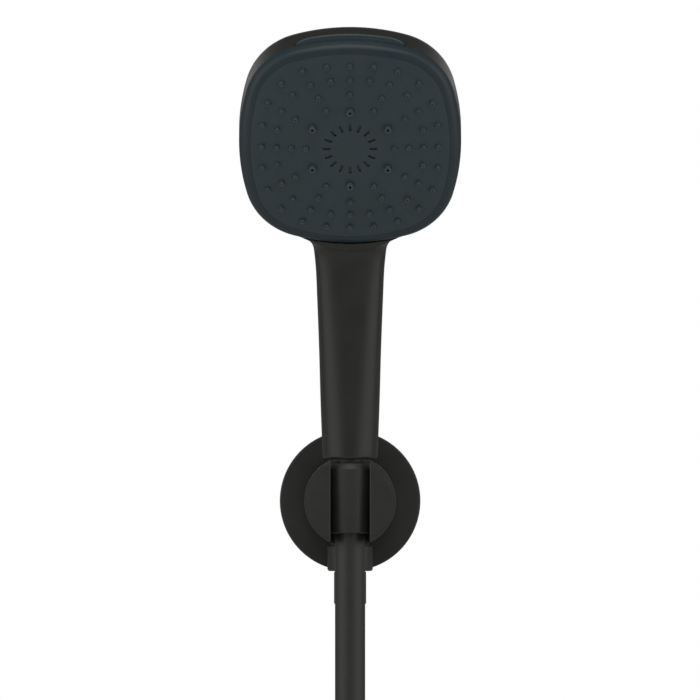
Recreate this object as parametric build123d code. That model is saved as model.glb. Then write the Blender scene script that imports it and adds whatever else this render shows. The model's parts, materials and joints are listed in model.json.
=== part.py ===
"""Handheld shower set held on a wall: outlet elbow with cradle, hose and handset.

Units are millimetres. The origin is the centre of the rosette's wall face. +Z is up,
+Y goes into the wall and -Y points into the room.
"""
from build123d import *
from math import cos, pi, radians, sin, sqrt, tan
import os

# ---------------------------------------------------------------- driving dimensions
# Wall outlet
ROSETTE_R = 35.0
ROSETTE_T = 9.0
ROSETTE_WALL = 2.2
BODY_R = 22.7
BODY_FRONT_Y = -62.0
BODY_STEP_R = 21.3
BODY_STEP = 0.5
BROKEN_EDGE = 0.3
SLOT_CHAMFER = 0.5
NECK_R = 12.0
NIPPLE_R = 10.48
NIPPLE_L = 14.0
NIPPLE_INNER_R = 9.5
HEX_KEY_AF = 12.0
WATERWAY_R = 5.5
CRADLE_Y = -48.0
SLOT_W = 19.5
RECESS_R = 14.3
RECESS_Z = 15.8
OUTLET_Y = -22.0

# Hose nuts and ends
CONE_TOP_Z = 15.9
CONE_TOP_R = 12.2
CONE_BOTTOM_Z = -15.7
CONE_BOTTOM_R = 10.7
CONE_CHAMFER_Z = 19.1
CONE_CHAMFER_R = 10.9
LINER_T = 0.9
TAPER_GAP = 0.08
RUNNING_GAP = 0.08
THREAD_R = 10.36
BOSS_COLLAR_R = 9.65
BOSS_END_Z = -29.5
NUT_R = 11.3
NUT_TOP_Z = -22.3
NUT_BOTTOM_Z = -34.9
FERRULE_R = 8.0
WALL_FERRULE_TOP_Z = -35.2
WALL_FERRULE_END_Z = -51.2
HAND_FERRULE_END_Z = -16.0
STEM_BORE_R = 3.8

# Hose
HOSE_R = 7.5
COIL_R = 75.0
COIL_Z = -232.0
COIL_FRONT_Y = -53.0
COIL_PITCH = 15.6
COIL_TURNS = 2.5
TIE_W = 14.0
TIE_T = 1.5

# Handset: the head's frame has its origin at the middle of the ring's widest outline,
# local z out of the spray face, local y up along the face
FACE_TILT = 25.0
FACE_CENTRE = (0.0, -89.0, 179.0)
HEAD_HALF = 55.0
SIDE_ARC_R = 104.0
CORNER_ARC_R = 33.0
SHELL_T = 2.2
HEAD_BACK = 25.0
BACK_ROUND = 10.0
RING_H = 6.0
RING_HOLE = 49.5
PLATE_HALF = 49.4
PLATE_BACK = 3.0
DOME_TOP = 9.6
DOME_R = 420.0
MAT_T = 1.2
CHANNEL_HALF = 45.0
CHANNEL_BACK = -5.0
HANDLE_BOTTOM_Z = 21.1
HANDLE_FLOOR_Z = 24.0

# Spray pattern: rings of (mean radius, holes in the ring, first angle)
NOZZLE_RINGS = ((43.8, 24, 0.0), (36.4, 24, 0.0), (29.1, 12, 0.0), (22.0, 6, 0.0))
NOZZLE_SWELL = 0.1
TEAT_R = 1.25
TEAT_HOLE_R = 1.6
TEAT_BORE_R = 0.3
TEAT_PROUD = 1.7
JET_RING_R = 20.1
JET_COUNT = 6
JET_R = 1.8
JET_HOLE_R = 2.2
JET_BORE_R = 0.7
JET_PROUD = 2.0
SLOT_COUNT = 16
SLOT_RING_R = 11.6
SLOT_L = 3.7
SLOT_T = 1.0

# Push button at the head's top edge
BUTTON_HALF_W = 27.3
BUTTON_H = 5.2
BUTTON_TRAVEL = 2.5
BUTTON_GAP = 0.3
GRIP_COUNT = 13
GRIP_PITCH = 2.6

# Diverter
CHAMBER_R = 19.0
CHAMBER_WALL = 2.0
CHAMBER_FLOOR = -17.0
DIVERTER_R = 14.0
SHAFT_R = 3.0
RATCHET_R = 13.0
RATCHET_TEETH = 6

HEAD = Plane(
    origin=FACE_CENTRE,
    x_dir=(1, 0, 0),
    z_dir=(0, -cos(radians(FACE_TILT)), -sin(radians(FACE_TILT))),
)
OUT_OF_WALL = Plane(origin=(0, 0, 0), x_dir=(1, 0, 0), z_dir=(0, -1, 0))


# ---------------------------------------------------------------- helpers
def rod(r, z0, z1, at=(0, 0)):
    """A cylinder along Z between two heights."""
    return Pos(at[0], at[1], min(z0, z1)) * extrude(Circle(r), abs(z1 - z0))


def wall_rod(r, y0, y1):
    """A cylinder along Y on the outlet's own axis."""
    low, high = min(-y0, -y1), max(-y0, -y1)
    return OUT_OF_WALL * Pos(0, 0, low) * extrude(Circle(r), high - low)


def cone(r0, z0, r1, z1, at=(0, 0)):
    """A frustum along Z with radius r0 at z0 and r1 at z1, z1 above z0."""
    profile = Polyline((0, z0), (r0, z0), (r1, z1), (0, z1), close=True)
    section = Plane.XZ * make_face(profile)
    return Pos(at[0], at[1], 0) * revolve(section, Axis.Z)


def block(x0, x1, y0, y1, z0, z1):
    """A box between six named faces."""
    size = (x1 - x0, y1 - y0, z1 - z0)
    return Pos((x0 + x1) / 2, (y0 + y1) / 2, (z0 + z1) / 2) * Box(*size)


def ring_torus(major, minor, plane):
    """An O-ring."""
    return plane * Torus(major, minor)


def helix_spring(radius, wire_r, height, turns, plane):
    """A round-wire coil spring standing on a plane's origin along its z."""
    path = Helix(pitch=height / turns, height=height, radius=radius)
    section = Plane(origin=path @ 0, z_dir=path % 0) * Circle(wire_r)
    return plane * sweep(section, path=path)


def cushion(half, inset=0.0):
    """A soft square: four shallow side arcs and four corner arcs, all tangent."""
    side_r, corner_r = SIDE_ARC_R - inset, CORNER_ARC_R - inset
    reach = SIDE_ARC_R - HEAD_HALF
    span = SIDE_ARC_R - CORNER_ARC_R
    c = (-reach + sqrt(2 * span**2 - reach**2)) / 2
    ux, uy = (c + reach) / span, c / span
    tx, ty = -reach + side_r * ux, side_r * uy
    corner = c + corner_r / sqrt(2)
    edges = []
    for k in range(4):
        turn = Rot(0, 0, 90 * k)
        side = ThreePointArc((tx, -ty), (half, 0), (tx, ty))
        bend = ThreePointArc((tx, ty), (corner, corner), (ty, tx))
        edges += [turn * side, turn * bend]
    return make_face(Wire(edges))


def cushion_prism(half, w0, w1):
    """The soft square extruded between two heights of the head's frame, in that frame."""
    inset = HEAD_HALF - half
    return Pos(0, 0, w0) * extrude(cushion(half, inset), w1 - w0)


def oval(a, b, power, count=20):
    """A superellipse outline with half axes a and b as one closed spline."""
    points = []
    for k in range(count):
        t = 2 * pi * k / count
        c, s = cos(t), sin(t)
        x = a * abs(c) ** (2 / power) * (1 if c >= 0 else -1)
        y = b * abs(s) ** (2 / power) * (1 if s >= 0 else -1)
        points.append((x, y))
    return make_face(Spline(*points, periodic=True))


def polar(r, angle):
    return (r * cos(radians(angle)), r * sin(radians(angle)))


def nozzle_places():
    """Nozzle centres on the face: each ring swells towards the soft square's corners."""
    places = []
    for radius, count, first in NOZZLE_RINGS:
        for k in range(count):
            angle = first + 360 * k / count
            swell = 1 + NOZZLE_SWELL * sin(radians(2 * angle)) ** 2
            places.append(polar(radius * swell, angle))
    return places


def jet_places():
    """Centres of the larger jets, on a ring with the same swell."""
    places = []
    for k in range(JET_COUNT):
        angle = 30 + 360 * k / JET_COUNT
        swell = 1 + NOZZLE_SWELL * sin(radians(2 * angle)) ** 2
        places.append(polar(JET_RING_R * swell, angle))
    return places


def dome_height(x, y):
    """Height of the domed spray face above the head's frame."""
    return DOME_TOP - DOME_R + sqrt(DOME_R**2 - x * x - y * y)


def cone_radius(z):
    """Outside radius of the conical nut at a height."""
    slope = (CONE_TOP_R - CONE_BOTTOM_R) / (CONE_TOP_Z - CONE_BOTTOM_Z)
    return CONE_BOTTOM_R + slope * (z - CONE_BOTTOM_Z)


def cradle_cone(extra, z0, z1):
    """The cradle's taper, opened out from the nut by a distance."""
    return cone(cone_radius(z0) + extra, z0, cone_radius(z1) + extra, z1, (0, CRADLE_Y))


def front_slot():
    """The open front of the cradle, where the hose passes in, its mouth chamfered."""
    half = SLOT_W / 2
    wide = half + SLOT_CHAMFER
    mouth = Polyline(
        (-half, CRADLE_Y), (-half, BODY_FRONT_Y + SLOT_CHAMFER), (-wide, BODY_FRONT_Y),
        (-wide, BODY_FRONT_Y - 5), (wide, BODY_FRONT_Y - 5), (wide, BODY_FRONT_Y),
        (half, BODY_FRONT_Y + SLOT_CHAMFER), (half, CRADLE_Y), close=True,
    )
    return Pos(0, 0, -BODY_R - 2) * extrude(make_face(mouth), 2 * BODY_R + 4)


# ---------------------------------------------------------------- wall outlet
def make_rosette():
    disc = wall_rod(ROSETTE_R, 0, -ROSETTE_T)
    disc = fillet(disc.edges().sort_by(Axis.Y)[0], 0.8)
    hollow = wall_rod(ROSETTE_R - ROSETTE_WALL, 0, -ROSETTE_T + ROSETTE_WALL)
    hub = wall_rod(NECK_R + 3.0, -1.0, -ROSETTE_T + ROSETTE_WALL)
    bore = wall_rod(NECK_R + 0.2, 1, -ROSETTE_T - 1)
    groove = wall_rod(NECK_R + 1.7, -4.15, -5.85)
    return disc - (hollow - hub) - bore - groove


def make_rosette_o_ring():
    return ring_torus(NECK_R + 0.85, 0.85, OUT_OF_WALL.offset(5.0))


def make_wall_gasket():
    outer = ROSETTE_R - ROSETTE_WALL
    return wall_rod(outer, 0, -1.5) - wall_rod(outer - 2.3, 1, -2)


def make_wall_nipple():
    thread = chamfer(wall_rod(NIPPLE_R, 0, NIPPLE_L).edges().sort_by(Axis.Y)[-1], 0.8)
    key = RegularPolygon(HEX_KEY_AF / 2, 6, major_radius=False)
    hole = OUT_OF_WALL * Pos(0, 0, -NIPPLE_L - 1) * extrude(key, NIPPLE_L + 12)
    return thread + wall_rod(NIPPLE_INNER_R, 0, -8) - hole


def make_union_body():
    barrel = wall_rod(BODY_R, -ROSETTE_T, BODY_FRONT_Y + BODY_STEP)
    barrel = fillet(barrel.edges().sort_by(Axis.Y)[0], BROKEN_EDGE)
    cap = wall_rod(BODY_STEP_R, -ROSETTE_T - 1, BODY_FRONT_Y)
    barrel += fillet(cap.edges().sort_by(Axis.Y)[0], BROKEN_EDGE)
    barrel -= rod(NUT_R + 0.5, NUT_TOP_Z + 0.4, -BODY_R - 1, (0, OUTLET_Y))
    neck = wall_rod(NECK_R, -0.5, -ROSETTE_T)
    collar = rod(BOSS_COLLAR_R, -15, NUT_TOP_Z - 0.7, (0, OUTLET_Y))
    spigot = rod(THREAD_R - RUNNING_GAP, NUT_TOP_Z - 0.7, BOSS_END_Z, (0, OUTLET_Y))
    body = barrel + neck + collar + spigot
    body -= wall_rod(NIPPLE_INNER_R, 1, -8.2)
    body -= wall_rod(WATERWAY_R, 1, OUTLET_Y - WATERWAY_R)
    body -= rod(WATERWAY_R, 0, -40, (0, OUTLET_Y))
    body -= rod(7.5, -18, -40, (0, OUTLET_Y))
    body -= cradle_cone(TAPER_GAP + LINER_T, -BODY_R - 2, BODY_R + 2)
    body -= rod(RECESS_R, RECESS_Z, BODY_R + 5, (0, CRADLE_Y))
    return body - front_slot()


def make_cradle_liner():
    z0, z1 = -16.5, RECESS_Z - 0.3
    sleeve = cradle_cone(TAPER_GAP + LINER_T, z0, z1) - cradle_cone(TAPER_GAP, z0, z1)
    return sleeve - front_slot()


def make_check_valve_housing():
    at = (0, OUTLET_Y)
    top, bottom = -18.0, BOSS_END_Z
    shell = rod(7.5, top, bottom, at) - rod(6.0, top - 1.5, bottom - 1, at) - rod(3.5, 0, top - 2, at)
    spider = rod(2.4, bottom, bottom + 1.5, at)
    for k in range(3):
        arm = block(0, 6.6, -0.6, 0.6, bottom, bottom + 1.5)
        spider += Pos(*at, 0) * Rot(0, 0, 120 * k) * arm
    return shell + spider - rod(1.28, bottom - 1, bottom + 2, at)


def make_check_poppet():
    at = (0, OUTLET_Y)
    disc = fillet(rod(4.8, -19.6, -21.2, at).edges(), 0.4)
    return disc + rod(1.2, -21.2, -29.3, at)


def make_check_spring():
    return helix_spring(2.1, 0.3, 5.6, 4, Plane(origin=(0, OUTLET_Y, -27.3)))


def make_outlet_washer():
    at = (0, OUTLET_Y)
    return rod(9.8, BOSS_END_Z, -31.3, at) - rod(5.6, 0, -35, at)


def make_wall_nut():
    at = (0, OUTLET_Y)
    nut = rod(NUT_R, NUT_BOTTOM_Z, NUT_TOP_Z, at)
    nut = fillet(nut.edges().sort_by(Axis.Z)[0], 1.0)
    nut = chamfer(nut.edges().sort_by(Axis.Z)[-1], 0.5)
    return nut - rod(THREAD_R, -33.2, 0, at) - rod(7.0 + RUNNING_GAP, -40, 0, at)


def make_wall_end_stem():
    at = (0, OUTLET_Y)
    stem = rod(10.0, -31.3, -33.1, at) + rod(7.0, -33.1, WALL_FERRULE_TOP_Z, at)
    stem += rod(5.2, WALL_FERRULE_TOP_Z, WALL_FERRULE_END_Z, at)
    return stem - rod(STEM_BORE_R, 0, -60, at)


def make_wall_end_ferrule():
    at = (0, OUTLET_Y)
    sleeve = rod(FERRULE_R, WALL_FERRULE_TOP_Z, WALL_FERRULE_END_Z, at)
    sleeve = fillet(sleeve.edges().sort_by(Axis.Z)[-1], 0.5)
    return sleeve - rod(5.2, 0, -60, at)


# ---------------------------------------------------------------- hose
FRONT_ROUTE = [
    (0, CRADLE_Y, HAND_FERRULE_END_Z),
    (0, CRADLE_Y, -112),
    (-22, -54, -152),
    (-57, -57, -176),
    (-75, -55.5, -213),
    (-75, COIL_FRONT_Y, -248),
]
REAR_ROUTE = [
    (0, OUTLET_Y, WALL_FERRULE_END_Z),
    (0, OUTLET_Y, -112),
    (22, -11.5, -152),
    (57, -11, -176),
    (75, -12.5, -213),
    (75, COIL_FRONT_Y + COIL_PITCH * COIL_TURNS, -248),
]


def hose_tube(name, route):
    """A solid hose along straight runs joined by tangent arcs."""
    points = [Vector(*p) for p in route]
    runs = [b - a for a, b in zip(points, points[1:])]
    radii = []
    for before, after in zip(runs, runs[1:]):
        half_turn = radians(before.get_angle(after) / 2)
        radii.append(0.45 * min(before.length, after.length) / tan(half_turn))
    path = FilletPolyline(*route, radius=radii)
    print(name, "arc radii", [round(r, 1) for r in radii], "length", round(path.length, 1))
    section = Plane(origin=path @ 0, z_dir=path % 0) * Circle(HOSE_R)
    tube = sweep(section, path=path)
    print(name, "volume over section times length", tube.volume / (pi * HOSE_R**2 * path.length))
    return tube


def make_hose_coil():
    """The outer shape of the wound turns, an annulus whose axis points out of the wall."""
    front = COIL_FRONT_Y - HOSE_R
    back = COIL_FRONT_Y + COIL_PITCH * COIL_TURNS + HOSE_R
    depth = back - front
    section = Pos(COIL_R, (front + back) / 2) * RectangleRounded(2 * HOSE_R, depth, HOSE_R - 0.1)
    return Pos(0, 0, COIL_Z) * revolve(section, Axis.Y)


def make_coil_tie():
    middle = COIL_FRONT_Y + COIL_PITCH * COIL_TURNS / 2
    depth = COIL_PITCH * COIL_TURNS + 2 * HOSE_R
    low, high = COIL_Z - COIL_R - HOSE_R - 0.2, COIL_Z - COIL_R + HOSE_R + 0.5
    y0, y1 = middle - depth / 2 - 0.2, middle + depth / 2 + 0.2
    half = TIE_W / 2
    outer = block(-half, half, y0 - TIE_T, y1 + TIE_T, low - TIE_T, high + TIE_T)
    outer = fillet(outer.edges().filter_by(Axis.X), 4.0)
    return outer - block(-half - 1, half + 1, y0, y1, low, high)


def make_handset_end_stem():
    at = (0, CRADLE_Y)
    stem = rod(10.0, 5.05, 7.0, at) + rod(5.2, HAND_FERRULE_END_Z, 5.05, at)
    return stem - rod(STEM_BORE_R, -20, 10, at)


def make_handset_end_ferrule():
    at = (0, CRADLE_Y)
    return rod(FERRULE_R, HAND_FERRULE_END_Z, 5.05, at) - rod(5.2, -20, 10, at)


# ---------------------------------------------------------------- handset, handle end
def make_cone_nut():
    at = (0, CRADLE_Y)
    nut = cone(CONE_BOTTOM_R, CONE_BOTTOM_Z, CONE_TOP_R, CONE_TOP_Z, at)
    nut += cone(CONE_TOP_R, CONE_TOP_Z, CONE_CHAMFER_R, CONE_CHAMFER_Z, at)
    nut -= rod(THREAD_R, 5.0, 30, at)
    return nut - rod(FERRULE_R + RUNNING_GAP, -20, 10, at)


def make_inlet_washer():
    at = (0, CRADLE_Y)
    return rod(9.9, 7.05, 9.0, at) - rod(6.2, 0, 12, at)


def make_inlet_connector():
    at = (0, CRADLE_Y)
    thread = rod(THREAD_R - 0.05, 9.0, HANDLE_BOTTOM_Z - 0.2, at)
    neck = rod(9.6, HANDLE_BOTTOM_Z - 0.2, HANDLE_FLOOR_Z, at)
    flange = rod(10.6, HANDLE_FLOOR_Z, HANDLE_FLOOR_Z + 3, at)
    barb = rod(4.8, HANDLE_FLOOR_Z + 3, 40, at)
    groove = rod(4.8, 33, 34.4, at) - rod(4.1, 33, 34.4, at)
    bore = rod(6.0, 8, 22, at) + rod(3.6, 8, 45, at)
    return thread + neck + flange + barb - groove - bore


def make_connector_o_ring():
    return ring_torus(4.45, 0.35, Plane(origin=(0, CRADLE_Y, 33.7)))


def make_filter_screen():
    """A shallow mesh cup with a rim under the washer."""
    at = (0, CRADLE_Y)
    cup = rod(5.9, 7.2, 12.0, at) - rod(5.4, 7.0, 11.5, at)
    hole = rod(0.45, 11, 13)
    for radius, count in ((1.7, 6), (3.2, 12), (4.5, 16)):
        for k in range(count):
            x, y = polar(radius, 360 * k / count)
            cup -= Pos(x, y + CRADLE_Y, 0) * hole
    return cup


def make_flow_limiter():
    at = (0, CRADLE_Y)
    disc = rod(5.95, 14.0, 19.5, at) - rod(2.2, 17, 20, at)
    hole = rod(0.8, 13, 18)
    for k in range(4):
        x, y = polar(3.4, 90 * k)
        disc -= Pos(x, y + CRADLE_Y, 0) * extrude(Circle(0.8), 30)
    return disc - Pos(0, CRADLE_Y, 0) * hole


HANDLE_SECTIONS = (
    # y, z, lean forward in degrees, half width, half depth, squareness
    (-48.0, 21.1, 0.0, 13.65, 13.65, 2.0),
    (-48.0, 50.0, 0.0, 14.7, 14.0, 2.3),
    (-48.0, 75.0, 0.0, 15.4, 14.3, 2.7),
    (-48.2, 99.0, 2.0, 16.3, 14.3, 3.1),
    (-50.0, 118.0, 9.0, 17.2, 13.9, 3.4),
    (-55.5, 137.0, 19.0, 19.5, 12.4, 3.6),
    (-64.0, 155.0, 25.0, 22.0, 10.6, 3.8),
)


def handle_loft(inset, first_z):
    """The handle's outside or, with an inset, its hollow."""
    faces = []
    for y, z, lean, a, b, power in HANDLE_SECTIONS:
        place = Location((0, y, max(z, first_z)), (lean, 0, 0))
        faces.append(place * oval(a - inset, b - inset, power))
    return loft(faces)


def head_cup(half, back, rounding):
    """The head's cup without its hollow: a soft square with a rounded back edge."""
    cup = cushion_prism(half, -back, 0)
    return fillet(cup.edges().group_by(Axis.Z)[0], rounding)


def make_handset_shell():
    outer = handle_loft(0, 0) + HEAD * head_cup(HEAD_HALF, HEAD_BACK, BACK_ROUND)
    head_hollow = head_cup(HEAD_HALF - SHELL_T, HEAD_BACK - SHELL_T, BACK_ROUND - SHELL_T)
    inner = handle_loft(SHELL_T, HANDLE_FLOOR_Z) + HEAD * head_hollow
    shell = outer - inner
    shell -= rod(9.6, 0, HANDLE_FLOOR_Z + 1, (0, CRADLE_Y))
    shell -= HEAD * cushion_prism(HEAD_HALF + 0.3, 0, RING_H + 1)
    window = button_outline(BUTTON_GAP)
    return shell - HEAD * window


# ---------------------------------------------------------------- handset, head
def button_outline(gap):
    """The block of space that the button takes in the head's top wall."""
    half = BUTTON_HALF_W + gap
    base = block(-half, half, 44, 60, -BUTTON_H - gap, 0)
    edges = base.edges().filter_by(Axis.Y).sort_by(Axis.Z)[:2]
    return fillet(edges, 4.0)


def make_spray_button():
    tab = button_outline(0) & cushion_prism(HEAD_HALF + 0.6, -BUTTON_H, -0.05)
    tab -= cushion_prism(HEAD_HALF - 2.0, -BUTTON_H - 1, 1)
    for k in range(GRIP_COUNT):
        x = (k - (GRIP_COUNT - 1) / 2) * GRIP_PITCH
        y = sqrt((SIDE_ARC_R + 0.6) ** 2 - x * x) - (SIDE_ARC_R - HEAD_HALF)
        tab -= Pos(x, y + 0.35, -4.6) * Rot(90, 0, 0) * Cylinder(0.8, 3.0, rotation=(90, 0, 0))
    stub = block(-8, 8, 46.2, 54.0, -4.4, -1.9)
    leg = block(-5, 5, 46.2, 48.2, -20.6, -1.9)
    bar = block(-3, 3, RATCHET_R + BUTTON_TRAVEL + 1.5, 48.2, -20.6, -18.8)
    return HEAD * (tab + stub + leg + bar)


def make_button_spring():
    start = CHAMBER_R + CHAMBER_WALL + 0.5
    place = Plane(origin=(0, start, -14.0), z_dir=(0, 1, 0))
    return HEAD * helix_spring(2.4, 0.35, 45.7 - start, 9, place)


def make_face_ring():
    ring = cushion_prism(HEAD_HALF, 0, RING_H)
    ring = fillet(ring.edges().group_by(Axis.Z)[-1], 5.0)
    return HEAD * (ring - cushion_prism(RING_HOLE, -1, RING_H + 1))


def make_face_plate():
    plate = cushion_prism(PLATE_HALF, PLATE_BACK, DOME_TOP + 1)
    plate &= Pos(0, 0, DOME_TOP - DOME_R) * Sphere(DOME_R)
    holes = [Pos(x, y, 0) * extrude(Circle(TEAT_HOLE_R), 20) for x, y in nozzle_places()]
    holes += [Pos(x, y, 0) * extrude(Circle(JET_HOLE_R), 20) for x, y in jet_places()]
    for k in range(SLOT_COUNT):
        slot = extrude(SlotOverall(SLOT_L, SLOT_T), 20)
        holes.append(Rot(0, 0, 360 * k / SLOT_COUNT) * Pos(SLOT_RING_R, 0, 0) * slot)
    return HEAD * (plate - holes)


def make_nozzle_mat():
    mat = cushion_prism(CHANNEL_HALF + 2.5, PLATE_BACK - MAT_T, PLATE_BACK)
    mat -= Pos(0, 0, 0) * extrude(Circle(JET_RING_R - 3.0), 10)
    teats, bores = [], []
    for x, y in nozzle_places():
        tall = dome_height(x, y) + TEAT_PROUD - PLATE_BACK
        teats.append(Pos(x, y, PLATE_BACK) * extrude(Circle(TEAT_R), tall))
        bores.append(Pos(x, y, 0) * extrude(Circle(TEAT_BORE_R), 20))
    bores += [Pos(x, y, 0) * extrude(Circle(JET_R), 10) for x, y in jet_places()]
    return HEAD * (mat + teats - bores)


def make_jet_nozzles():
    """Six turned inserts, kept as one group of separate solids."""
    jets = []
    for x, y in jet_places():
        top = dome_height(x, y) + JET_PROUD
        foot = PLATE_BACK - MAT_T
        jet = extrude(Circle(JET_R), top - foot) - extrude(Circle(JET_BORE_R), 20)
        jets.append(HEAD * Pos(x, y, foot) * jet)
    return Compound(jets)


def make_channel_plate():
    """Water ways behind the nozzle mat: three rings of channel and their feed holes."""
    front = PLATE_BACK - MAT_T
    plate = cushion_prism(CHANNEL_HALF, CHANNEL_BACK, front) + cushion_prism(HEAD_HALF - 2.4, -1.5, 0)
    outer = cushion_prism(CHANNEL_HALF - 1.6, front - 2.5, front + 1) - cushion_prism(26.0, -9, 9)
    middle = extrude(Circle(23.6), 9) - extrude(Circle(18.6), 9)
    inner = extrude(Circle(14.4), 9) - extrude(Circle(8.6), 9)
    low = Pos(0, 0, front - 2.5)
    plate -= [outer, low * middle, low * inner]
    for radius, angle in ((11.0, 90), (11.0, 210)):
        x, y = polar(radius, angle)
        plate -= Pos(x, y, -9) * extrude(Circle(1.8), 12)
    for k in range(4):
        x, y = polar(24.0 + 0.8, 45 + 90 * k)
        plate -= Pos(x, y, CHANNEL_BACK - 1) * extrude(Circle(1.4), 4.0)
    notch = block(-29, 29, 43.0, 60, -9, 0.5)
    return HEAD * (plate - notch)


def make_port_seal():
    ring = extrude(Circle(DIVERTER_R), 1.0) - extrude(Circle(SHAFT_R + 1), 3)
    for k in range(3):
        x, y = polar(9.5, 90 + 120 * k)
        ring -= Pos(x, y, -1) * extrude(Circle(2.2), 4)
    return HEAD * Pos(0, 0, CHANNEL_BACK - 1.0) * ring


def make_diverter_disc():
    top = CHANNEL_BACK - 1.1
    disc = Pos(0, 0, top - 3.4) * extrude(Circle(DIVERTER_R), 3.4)
    x, y = polar(9.5, 90)
    disc -= Pos(x, y, -20) * extrude(Circle(2.4), 30)
    shaft = Pos(0, 0, -21.0) * extrude(Circle(SHAFT_R), 21.0 + top)
    return HEAD * (disc + shaft)


def make_ratchet_wheel():
    """A small wheel of saw teeth on the diverter's shaft."""
    base = RATCHET_R - 2.6
    wheel = extrude(Circle(base), 2.2)
    for k in range(RATCHET_TEETH):
        angle = 360 / RATCHET_TEETH * k
        a, b, c = polar(base - 0.5, angle), polar(RATCHET_R, angle), polar(base - 0.5, angle + 42)
        wheel += extrude(make_face(Polyline(a, b, c, close=True)), 2.2)
    wheel -= extrude(Circle(SHAFT_R), 4)
    return HEAD * Pos(0, 0, -20.9) * wheel


def make_ratchet_leaf():
    """A flat spring on the chamber's back that stops the wheel from turning back."""
    foot = block(-16.5, -14.5, -12, -4, -21.0, CHAMBER_FLOOR)
    blade = block(-16.5, -15.9, -4, 8, -20.8, -18.8)
    tip = block(-16.5, -13.4, 7, 8, -20.8, -18.8)
    return HEAD * (foot + blade + tip)


def make_diverter_housing():
    outer_r = CHAMBER_R + CHAMBER_WALL
    cup = Pos(0, 0, CHAMBER_FLOOR) * extrude(Circle(outer_r), CHANNEL_BACK - CHAMBER_FLOOR)
    flange = Pos(0, 0, CHANNEL_BACK - 1.5) * extrude(Circle(outer_r + 7), 1.5)
    flange &= cushion_prism(32, -20, 0)
    spigot = Pos(0, 0, -11) * Rot(90, 0, 0) * extrude(Circle(4.7), 36)
    hollow = Pos(0, 0, CHAMBER_FLOOR + 1.6) * extrude(Circle(CHAMBER_R), 20)
    bore = Pos(0, 0, -11) * Rot(90, 0, 0) * extrude(Circle(3.6), 40)
    shaft_hole = Pos(0, 0, -30) * extrude(Circle(SHAFT_R + RUNNING_GAP), 30)
    seal_groove = Pos(0, 0, CHAMBER_FLOOR) * extrude(Circle(SHAFT_R + 1.3), 1.0)
    housing = cup + flange + spigot - hollow - bore - shaft_hole - seal_groove
    for k in range(4):
        x, y = polar(24.8, 45 + 90 * k)
        housing -= Pos(x, y, -10) * extrude(Circle(1.5), 10)
    return HEAD * housing


def make_shaft_seal():
    ring = extrude(Circle(SHAFT_R + 1.3), 0.9) - extrude(Circle(SHAFT_R + RUNNING_GAP), 3)
    return HEAD * Pos(0, 0, CHAMBER_FLOOR) * ring


def make_housing_screws():
    """Four pan-head screws, kept as one group of separate solids."""
    screws = []
    under = CHANNEL_BACK - 1.5
    for k in range(4):
        x, y = polar(24.8, 45 + 90 * k)
        head = fillet((Pos(x, y, under - 1.8) * extrude(Circle(2.6), 1.8)).edges().group_by(Axis.Z)[0], 0.7)
        recess = Pos(x, y, under - 2) * (extrude(Rectangle(2.4, 0.6), 1.1) + extrude(Rectangle(0.6, 2.4), 1.1))
        shaft = Pos(x, y, under) * extrude(Circle(1.4), 4.0)
        screws.append(HEAD * (head + shaft - recess))
    return Compound(screws)


def make_water_tube():
    """The inner pipe from the handle's connector to the diverter housing's spigot."""
    end = HEAD.from_local_coords(Vector(0, -28.6, -11))
    lean = radians(FACE_TILT)
    corner_z = end.Z - (CRADLE_Y - end.Y) / tan(lean)
    path = FilletPolyline((0, CRADLE_Y, 28), (0, CRADLE_Y, corner_z), tuple(end), radius=60)
    ring = Circle(6.0) - Circle(4.8)
    return sweep(Plane(origin=path @ 0, z_dir=path % 0) * ring, path=path)


# ---------------------------------------------------------------- build and write
NODES = {
    "rosette": make_rosette,
    "rosette_o_ring": make_rosette_o_ring,
    "wall_gasket": make_wall_gasket,
    "wall_nipple": make_wall_nipple,
    "union_body": make_union_body,
    "cradle_liner": make_cradle_liner,
    "check_valve_housing": make_check_valve_housing,
    "check_valve_poppet": make_check_poppet,
    "check_valve_spring": make_check_spring,
    "outlet_washer": make_outlet_washer,
    "wall_nut": make_wall_nut,
    "wall_end_stem": make_wall_end_stem,
    "wall_end_ferrule": make_wall_end_ferrule,
    "hose_front": lambda: hose_tube("hose_front", FRONT_ROUTE),
    "hose_rear": lambda: hose_tube("hose_rear", REAR_ROUTE),
    "hose_coil": make_hose_coil,
    "coil_tie": make_coil_tie,
    "handset_end_stem": make_handset_end_stem,
    "handset_end_ferrule": make_handset_end_ferrule,
    "cone_nut": make_cone_nut,
    "inlet_washer": make_inlet_washer,
    "filter_screen": make_filter_screen,
    "flow_limiter": make_flow_limiter,
    "inlet_connector": make_inlet_connector,
    "connector_o_ring": make_connector_o_ring,
    "handset_shell": make_handset_shell,
    "water_tube": make_water_tube,
    "diverter_housing": make_diverter_housing,
    "shaft_seal": make_shaft_seal,
    "housing_screws": make_housing_screws,
    "port_seal": make_port_seal,
    "diverter_disc": make_diverter_disc,
    "ratchet_wheel": make_ratchet_wheel,
    "ratchet_leaf": make_ratchet_leaf,
    "channel_plate": make_channel_plate,
    "nozzle_mat": make_nozzle_mat,
    "jet_nozzles": make_jet_nozzles,
    "face_plate": make_face_plate,
    "face_ring": make_face_ring,
    "spray_button": make_spray_button,
    "button_spring": make_button_spring,
}


def main():
    os.makedirs("parts", exist_ok=True)
    for name, make in NODES.items():
        export_step(make(), f"parts/{name}.step")


main()
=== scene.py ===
"""Handheld shower set on its wall outlet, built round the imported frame.

Lengths below are in millimetres until a mesh is written, which is in metres. +Z is up,
-Y points into the room, and the origin is the middle of the rosette's wall face.
"""

import json
import math

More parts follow.
